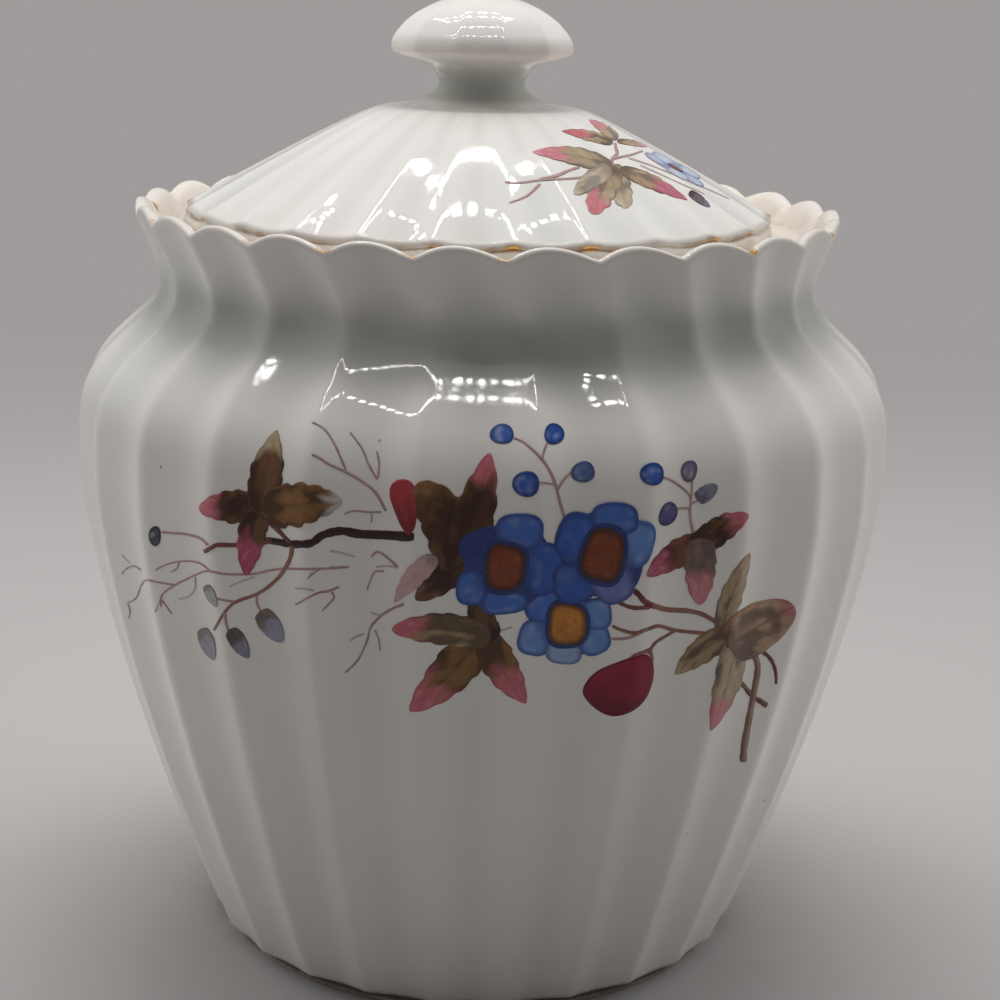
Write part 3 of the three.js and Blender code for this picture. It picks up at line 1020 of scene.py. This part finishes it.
# Thin twigs, from left to right
TWIGS = each(
    Stroke,
    (((348, 567), (320, 569), (279, 569), (252, 574), (225, 574), (207, 571), (193, 576),
      (175, 585), (162, 595), (161, 607)), 2.4, 1.8),
    (((211, 572), (200, 563), (184, 561), (168, 564), (155, 570)), 1.9, 1.4),
    (((179, 562), (177, 568), (171, 572)), 1.8, 1.2),
    (((175, 585), (157, 582), (146, 580), (141, 586), (136, 598), (127, 603)), 2.0, 1.5),
    (((128, 604), (130, 611), (129, 618)), 1.6, 1.2),
    (((141, 570), (134, 566), (126, 569), (122, 574)), 1.7, 1.3),
    (((122, 555), (126, 559), (130, 563)), 1.6, 1.1, PALE_TWIG),
    (((162, 600), (167, 607), (172, 614)), 1.8, 1.2),
    (((160, 600), (157, 607), (155, 612)), 1.5, 1.0, PALE_TWIG),
    (((195, 577), (195, 588), (189, 596), (179, 599)), 1.8, 1.2, PALE_TWIG),
    (((254, 577), (242, 581), (229, 587)), 1.7, 1.1, PALE_TWIG),
    (((321, 568), (314, 573), (307, 579)), 2.4, 1.3),
    (((339, 587), (329, 591), (318, 593), (306, 599), (295, 605)), 2.6, 1.5),
    (((295, 588), (305, 589), (314, 591)), 1.8, 1.4, PALE_TWIG),
    (((332, 592), (334, 598), (328, 605), (322, 611)), 2.4, 1.3),
    (((312, 422), (322, 427), (330, 436), (337, 449), (343, 463), (346, 470)), 1.8, 2.6),
    (((312, 454), (320, 458), (329, 464), (346, 472), (360, 480), (375, 492),
      (386, 511)), 2.6, 2.8),
    (((350, 432), (357, 441), (363, 450), (369, 465), (377, 479)), 1.8, 2.3),
    (((377, 451), (379, 463), (378, 478)), 2.2, 2.0),
    (((344, 514), (354, 511), (368, 512), (381, 512)), 1.7, 1.9),
    (((371, 512), (372, 518), (371, 523)), 1.8, 1.1),
    (((330, 551), (342, 553), (355, 557)), 1.9, 1.3, PALE_TWIG),
    (((330, 567), (340, 567), (350, 567)), 1.8, 1.2, PALE_TWIG),
    (((371, 557), (377, 552), (384, 555), (398, 567)), 2.1, 2.4),
    (((384, 571), (375, 572), (371, 579), (367, 590)), 2.1, 1.3),
    (((376, 567), (388, 566), (398, 568)), 1.6, 1.9, PALE_TWIG),
    (((404, 604), (392, 609), (381, 616), (371, 627), (367, 641), (358, 660),
      (345, 673)), 2.8, 1.9),
    (((350, 641), (356, 637), (364, 634)), 1.7, 2.0, PALE_TWIG),
    (((375, 630), (379, 640), (380, 651)), 2.1, 1.3),
    (((371, 612), (378, 615), (386, 613)), 1.6, 1.9, PALE_TWIG),
    (((486, 634), (500, 631), (512, 627)), 1.8, 1.4, PALE_TWIG),
)

# Stems and the two thick branches
STEMS = each(
    Stroke,
    (((162, 532), (174, 533), (186, 534), (200, 538), (208, 545)), 2.2, 2.6),
    (((204, 552), (211, 548), (218, 545), (236, 545), (262, 542), (272, 541)), 4.0, 5.2, DEEP_RUST),
    (((264, 514), (270, 522), (279, 531), (291, 544)), 6.0, 4.0, BROWN),
    (((266, 540), (279, 542), (293, 544), (311, 543), (323, 535), (341, 531), (360, 534),
      (385, 535), (414, 537)), 6.4, 9.6, DARK_BROWN),
    (((292, 546), (291, 555), (287, 565), (277, 579), (259, 593), (236, 602), (225, 612),
      (214, 630)), 4.4, 2.6, RUST),
    (((225, 612), (226, 622), (229, 633)), 2.6, 2.2),
    (((257, 595), (257, 603), (261, 612)), 2.4, 2.2),
    (((236, 602), (223, 600), (216, 598)), 2.2, 1.5),
    (((514, 438), (522, 441), (530, 447), (542, 459), (550, 471), (555, 483), (560, 502),
      (565, 520)), 2.3, 3.2),
    (((547, 443), (544, 451), (542, 459)), 2.3, 2.3),
    (((538, 482), (546, 483), (554, 484)), 2.0, 2.4),
    (((571, 472), (566, 477), (562, 482), (557, 490)), 2.4, 2.8),
    (((663, 477), (671, 480), (680, 486), (688, 493), (691, 500), (690, 510), (691, 522),
      (694, 536)), 2.2, 2.8),
    (((676, 509), (683, 508), (690, 509)), 2.2, 2.2),
    (((692, 481), (692, 490), (691, 499)), 2.0, 2.2),
    (((702, 498), (697, 501), (691, 504)), 1.9, 2.0),
    (((644, 601), (664, 609), (689, 611), (706, 616), (724, 628)), 5.2, 4.2, RUST),
    (((622, 583), (630, 588), (638, 594), (646, 603), (656, 607)), 6.0, 5.0, MAROON),
    (((612, 598), (624, 605), (636, 608), (650, 607)), 4.0, 4.2, DEEP_RUST),
    (((612, 626), (624, 631), (636, 633), (648, 629), (659, 626), (674, 630), (690, 632),
      (726, 635)), 3.2, 3.6, RUST),
    (((612, 639), (628, 638), (644, 631), (652, 628)), 2.6, 2.8),
    (((676, 630), (666, 636), (655, 643), (648, 654)), 2.6, 3.2, RUST),
    (((652, 649), (644, 652), (634, 656), (625, 663)), 4.0, 2.4, RUST),
    (((650, 650), (652, 657), (652, 668)), 3.4, 2.0, RUST),
    (((744, 645), (751, 651), (757, 662), (757, 675), (753, 697), (748, 724), (744, 748),
      (743, 762)), 5.4, 6.8, RUSSET),
    (((735, 677), (744, 686), (752, 696), (760, 701), (767, 706)), 4.4, 5.6, BROWN),
    (((760, 650), (769, 657), (774, 666), (776, 675), (776, 684)), 4.4, 2.4, MAROON),
)

# Leaves and buds: base, tip, width, the colours of body and tip, where the tip's colour starts,
# bend, fullness (a smaller number is a fuller leaf), strength of colour, and depth of the teeth
LEAVES = each(
    Leaf,
    ((266, 509), (199, 508), 35, DARK_OLIVE, PINK, 0.72, 0.03, 0.5),
    ((261, 502), (246, 575), 30, DARK_OLIVE, ROSE, 0.5, 0.03, 0.6),
    ((260, 514), (277, 430), 35, WARM_BROWN, PALE_OLIVE, 0.72, -0.02, 0.75),
    ((262, 511), (342, 501), 46, OLIVE, PALE_TIP, 0.86, -0.03, 0.6, 1.0, 0.15),
    ((436, 556), (394, 603), 22, PALE_PINK, PALE_PINK, 0.1, 0.04, 0.8, 0.75),
    ((466, 540), (416, 600), 38, DARK_OLIVE, BROWN, 0.85, -0.06, 0.6),
    ((462, 566), (419, 482), 52, DARK_OLIVE, OLIVE, 0.8, 0.06, 0.4),
    ((454, 566), (490, 453), 43, DARK_OLIVE, PINK, 0.76, 0.03, 0.66),
    ((493, 640), (470, 597), 27, DARK_OLIVE, OLIVE, 0.9, 0.0, 0.6),
    ((491, 637), (392, 629), 33, DRY_OLIVE, PINK, 0.74, 0.04, 0.5),
    ((486, 630), (410, 711), 44, OLIVE, PINK, 0.66, -0.03, 0.62),
    ((483, 632), (526, 703), 36, OLIVE, PINK, 0.56, 0.03, 0.68),
    ((708, 540), (647, 576), 28, MAROON, ROSE, 0.64, 0.05, 0.6),
    ((693, 550), (748, 514), 29, DARK_OLIVE, PINK, 0.68, -0.03, 0.56),
    ((701, 538), (699, 605), 33, BROWN, PINK, 0.56, 0.0, 0.56, 0.9),
    ((720, 634), (750, 553), 22, PALE_OLIVE, PALE_OLIVE, 0.8, -0.03, 0.7, 0.95),
    ((731, 631), (675, 674), 27, DRY_OLIVE, PALE_OLIVE, 0.85, 0.03, 0.7),
    ((738, 630), (711, 730), 29, PALE_OLIVE, PINK, 0.68, -0.03, 0.7, 0.95),
    ((727, 648), (794, 606), 48, BUD_BROWN, ROSE, 0.86, -0.02, 0.45, 1.0, 0.0),
    ((202, 628), (214, 660), 15, DARK_BROWN, SLATE, 0.3, 0.0, 0.6, 0.75, 0.0),
    ((230, 629), (249, 658), 17, DARK_BROWN, SLATE, 0.42, 0.0, 0.6, 0.9, 0.0),
    ((260, 611), (283, 642), 21, DARK_OLIVE, DUSK_BLUE, 0.36, 0.0, 0.55, 0.85, 0.0),
    ((206, 585), (217, 607), 10, GREY_GREEN, GREY_GREEN, 0.3, 0.0, 0.6, 0.85, 0.0),
    ((697, 500), (717, 485), 16, BUD_BLUE, SLATE, 0.5, 0.0, 0.5, 0.9, 0.0),
)

# Flowers: the ground that shows between the petals, the heart, and the petals round it
Flower = namedtuple("Flower", "ground heart petals")
FLOWERS = (
    Flower(Disc((566, 629), 74, 54, 0, COBALT), Disc((567, 624), 37, 40, 4, ORANGE), each(
        Disc,
        ((571, 600), 34, 24, 0, MID_BLUE),
        ((544, 606), 40, 34, -10, MID_BLUE),
        ((534, 638), 32, 36, 10, LIGHT_BLUE),
        ((564, 652), 36, 24, 0, PALE_BLUE),
        ((594, 640), 34, 29, -25, LIGHT_BLUE),
        ((596, 614), 32, 31, 0, LIGHT_BLUE),
    )),
    Flower(Disc((506, 565), 84, 82, 0, DEEP_BLUE), Disc((505, 567), 38, 45, 6, CLAY), each(
        Disc,
        ((481, 551), 40, 43, -20, DEEP_BLUE),
        ((543, 568), 39, 54, 8, COBALT),
        ((471, 588), 30, 35, 0, MID_BLUE),
        ((504, 602), 48, 24, -3, MID_BLUE),
        ((520, 531), 48, 35, 4, MID_BLUE),
    )),
    Flower(Disc((604, 556), 78, 84, 15, DEEP_BLUE), Disc((603, 555), 40, 52, 14, CLAY), each(
        Disc,
        ((574, 583), 44, 40, 0, COBALT),
        ((613, 583), 42, 40, -30, VIOLET_BLUE),
        ((638, 543), 31, 47, 12, LIGHT_BLUE),
        ((576, 537), 39, 52, 22, COBALT),
        ((615, 518), 48, 31, 4, MID_BLUE),
    )),
)
RED_BUD = Patch(
    ((416, 500), (417, 515), (414, 529), (408, 535), (401, 526), (395, 512), (390, 497), (391, 486),
     (398, 480), (408, 480), (415, 488)), RED,
)
FRUIT = Patch(
    ((653, 679), (646, 698), (632, 711), (613, 716), (596, 709), (583, 694), (587, 681), (599, 670),
     (618, 662), (636, 656), (648, 655), (653, 665)), CRIMSON,
)

BERRIES = each(
    Disc,
    ((502, 434), 24, 20, 0, MID_BLUE),
    ((554, 434), 20, 21, 0, COBALT),
    ((526, 484), 27, 26, 0, COBALT),
    ((583, 472), 24, 21, -10, DULL_BLUE),
    ((652, 474), 24, 23, 0, COBALT),
    ((689, 471), 16, 22, 10, BERRY_MAUVE),
    ((668, 514), 17, 25, 25, BERRY_VIOLET),
    ((155, 536), 12, 20, 0, BERRY_BLACK),
)

# The smaller spray on the lid
LID_STROKES = each(
    Stroke,
    (((615, 143), (616, 149), (617, 154), (612, 160), (612, 168)), 2.6, 4.2),
    (((612, 159), (622, 157), (631, 155), (643, 151)), 2.6, 1.8),
    (((580, 167), (568, 171), (556, 176), (539, 180)), 2.8, 3.6),
    (((604, 173), (585, 177), (565, 179), (543, 180), (518, 183), (505, 182)), 2.4, 2.2),
    (((540, 184), (534, 190), (527, 196), (518, 200), (509, 203)), 3.2, 1.6),
    (((628, 158), (650, 165), (672, 174), (692, 183), (712, 191), (729, 199)), 1.6, 1.2, PALE_TWIG),
    (((640, 165), (664, 176), (686, 186), (704, 194)), 1.5, 1.2, PALE_TWIG),
)
LID_LEAVES = each(
    Leaf,
    ((613, 143), (562, 131), 11, PALE_OLIVE, PINK, 0.55, 0.03, 0.7),
    ((618, 139), (589, 120), 10, PALE_OLIVE, PINK, 0.5, 0.02, 0.7, 0.9),
    ((617, 141), (647, 147), 6, PALE_OLIVE, PALE_PINK, 0.7, -0.03, 0.7),
    ((613, 168), (533, 152), 19, DRY_OLIVE, PINK, 0.6, 0.05, 0.7, 0.9),
    ((610, 168), (574, 194), 20, PALE_OLIVE, PALE_OLIVE, 0.9, 0.02, 0.5, 0.8),
    ((609, 166), (628, 208), 27, DRY_OLIVE, PALE_OLIVE, 0.75, 0.0, 0.45, 0.85, 0.16),
    ((613, 166), (592, 214), 31, DRY_OLIVE, PINK, 0.62, 0.0, 0.42, 0.95, 0.16),
    ((619, 169), (687, 200), 15, DRY_OLIVE, ROSE, 0.56, -0.02, 0.75, 0.95),
    ((689, 192), (710, 207), 8, DUSK_VIOLET, SLATE, 0.7, 0.0, 0.55, 1.0, 0.0),
)
LID_GROUND, LID_HEART = each(
    Disc,
    ((675, 168.5), 34, 6, 30, HAZE_BLUE),
    ((675, 168.5), 14, 2.4, 30, CLAY),
)
LID_FLOWER = Flower(LID_GROUND, LID_HEART, each(
    Disc,
    ((691, 179), 29, 5.4, 30, HAZE_BLUE),
    ((676, 173), 29, 5.4, 30, MIST_BLUE),
    ((658, 161), 29, 5.4, 30, HAZE_BLUE),
    ((665, 160), 29, 5.4, 30, MIST_BLUE),
    ((687, 171), 29, 5.4, 30, MIST_BLUE),
))


def paint(name, ground, body, lay, marks, *lift):
    """All marks of one kind, as one piece"""
    spray = Spray(name, ground, body)
    for mark in marks:
        lay(spray, mark, *lift)
    spray.finished()


paint("spray_twigs", on_jar, "jar", lay_stroke, TWIGS, TWIG_LIFT)
paint("spray_stems", on_jar, "jar", lay_stroke, STEMS, STEM_LIFT)
paint("spray_leaves", on_jar, "jar", lay_leaf, LEAVES)
paint("spray_flowers", on_jar, "jar", lay_flower, FLOWERS)
paint("spray_berries", on_jar, "jar", lay_fruit, (RED_BUD, FRUIT, *BERRIES))
paint("lid_spray_stems", on_lid, "lid", lay_stroke, LID_STROKES, TWIG_LIFT)
paint("lid_spray_leaves", on_lid, "lid", lay_leaf, LID_LEAVES)
paint("lid_spray_flower", on_lid, "lid", lay_flower, (LID_FLOWER,))

for piece, body, slot, nodes in (
    (jar_shell, "jar", "glazed_porcelain", ("jar_floor", "jar_wall", "collar", "lid_seat")),
    (foot_band, "jar", "bare_porcelain", ("foot_ring",)),
    (lid_shell, "lid", "glazed_porcelain", ("lid_dome", "knob_stem", "knob_cap")),
    (knob_tip, "lid", "worn_gilding", ("knob_button",)),
    (flange_band, "flange", "glazed_porcelain", ("lid_flange",)),
):
    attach(piece, body)
    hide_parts(*nodes)


# Floor, lamps and world
BACKDROP = (0.345, 0.332, 0.326, 1)
FLOOR_PALE = (0.44, 0.427, 0.421, 1)
FLOOR_CLOUD = (0.42, 0.408, 0.402, 1)
FLOOR_RADIUS = 3
SOFTBOX_SIZE = (0.6, 0.7)
SOFTBOXES = (
    ("overhead_softbox", (0, 0.22, 0.95), 4.4),
    ("left_softbox", (-0.75, 0.3, 0.4), 3.8),
    ("right_softbox", (0.75, 0.3, 0.4), 3.8),
)

# The squares of small lamps: left, right, near and far side
FRONT_BEADS = (-0.19, 0.092, -0.103, -0.037)
BACK_BEADS = (-0.12, 0.085, 0.066, 0.108)
BEAD_HEIGHT = 0.4
BEAD_SIZE = (0.0065, 0.0065)
BEAD_STEP = 0.0125
BEAD_WATTS = 0.0048
WORLD_LIGHT = (1, 0.985, 0.97, 1)
WORLD_STRENGTH = 0.16


def add_floor():
    """A pale floor that runs out evenly into the backdrop"""
    bm = bmesh.new()
    bmesh.ops.create_circle(bm, cap_ends=True, segments=96, radius=FLOOR_RADIUS)
    finish = Finish("plain_floor")
    body = finish.mix(finish.ramp(finish.noise(3, 2), 0.3, 0.7), FLOOR_PALE, FLOOR_CLOUD)
    finish.finish(Base_Color=body, Roughness=0.8)
    far = finish.add("ShaderNodeVectorMath", {0: finish.place}, operation="LENGTH").outputs["Value"]
    even = finish.add("ShaderNodeEmission", {"Color": BACKDROP}).outputs[0]
    inputs = {0: finish.ramp(far, 0.12, 0.75), 1: finish.shader.outputs[0], 2: even}
    blend = finish.add("ShaderNodeMixShader", inputs)
    finish.set(finish.tree.nodes["Material Output"].inputs["Surface"], blend.outputs[0])
    floor = finished("floor", bm, finish.material)


def add_lamp(name, place, size, watts, target=(0, 0, 0.08)):
    """A rectangular lamp that the camera doesn't see"""
    lamp = bpy.data.objects.new(name, bpy.data.lights.new(name, "AREA"))
    bpy.context.scene.collection.objects.link(lamp)
    lamp.data.shape = "RECTANGLE"
    lamp.data.size, lamp.data.size_y = size
    lamp.data.energy = watts
    lamp.location = place
    lamp.rotation_euler = (Vector(target) - Vector(place)).to_track_quat("-Z", "Y").to_euler()
    lamp.visible_camera = False
    return lamp


def add_beads(name, left, right, near, far):
    """A square of small lamps in rows, level above the jar"""
    places = ((left, near), (right, near), (right, far), (left, far))
    corners = [Vector(place) for place in places]
    for side, (start, end) in enumerate(zip(corners, corners[1:] + corners[:1])):
        beads = round((end - start).length / BEAD_STEP)
        for bead, share in enumerate(shares(beads)[:-1]):
            x, y = start.lerp(end, share)
            add_lamp(f"{name}_{side}_{bead}", (x, y, BEAD_HEIGHT), BEAD_SIZE, BEAD_WATTS, (x, y, 0))


def add_light():
    """Softboxes above and at both sides, and two squares of small lamps for the gloss"""
    for name, place, watts in SOFTBOXES:
        add_lamp(name, place, SOFTBOX_SIZE, watts).visible_glossy = False
    add_beads("front_beads", *FRONT_BEADS)
    add_beads("back_beads", *BACK_BEADS)
    world = bpy.data.worlds.new("studio")
    bpy.context.scene.world = world
    nodes = Nodes(world)
    light = nodes.tree.nodes["Background"]
    nodes.set(light.inputs["Color"], WORLD_LIGHT)
    nodes.set(light.inputs["Strength"], WORLD_STRENGTH)
    seen = nodes.add("ShaderNodeBackground", {"Color": BACKDROP})
    rays = nodes.add("ShaderNodeLightPath").outputs
    inputs = {0: rays["Is Camera Ray"], 1: rays["Is Glossy Ray"]}
    shown = nodes.add("ShaderNodeMath", inputs, operation="MAXIMUM")
    inputs = {0: shown.outputs[0], 1: light.outputs[0], 2: seen.outputs[0]}
    mix = nodes.add("ShaderNodeMixShader", inputs)
    nodes.set(nodes.tree.nodes["World Output"].inputs["Surface"], mix.outputs[0])


add_floor()
add_light()
bpy.context.scene.view_settings.view_transform = "Standard"
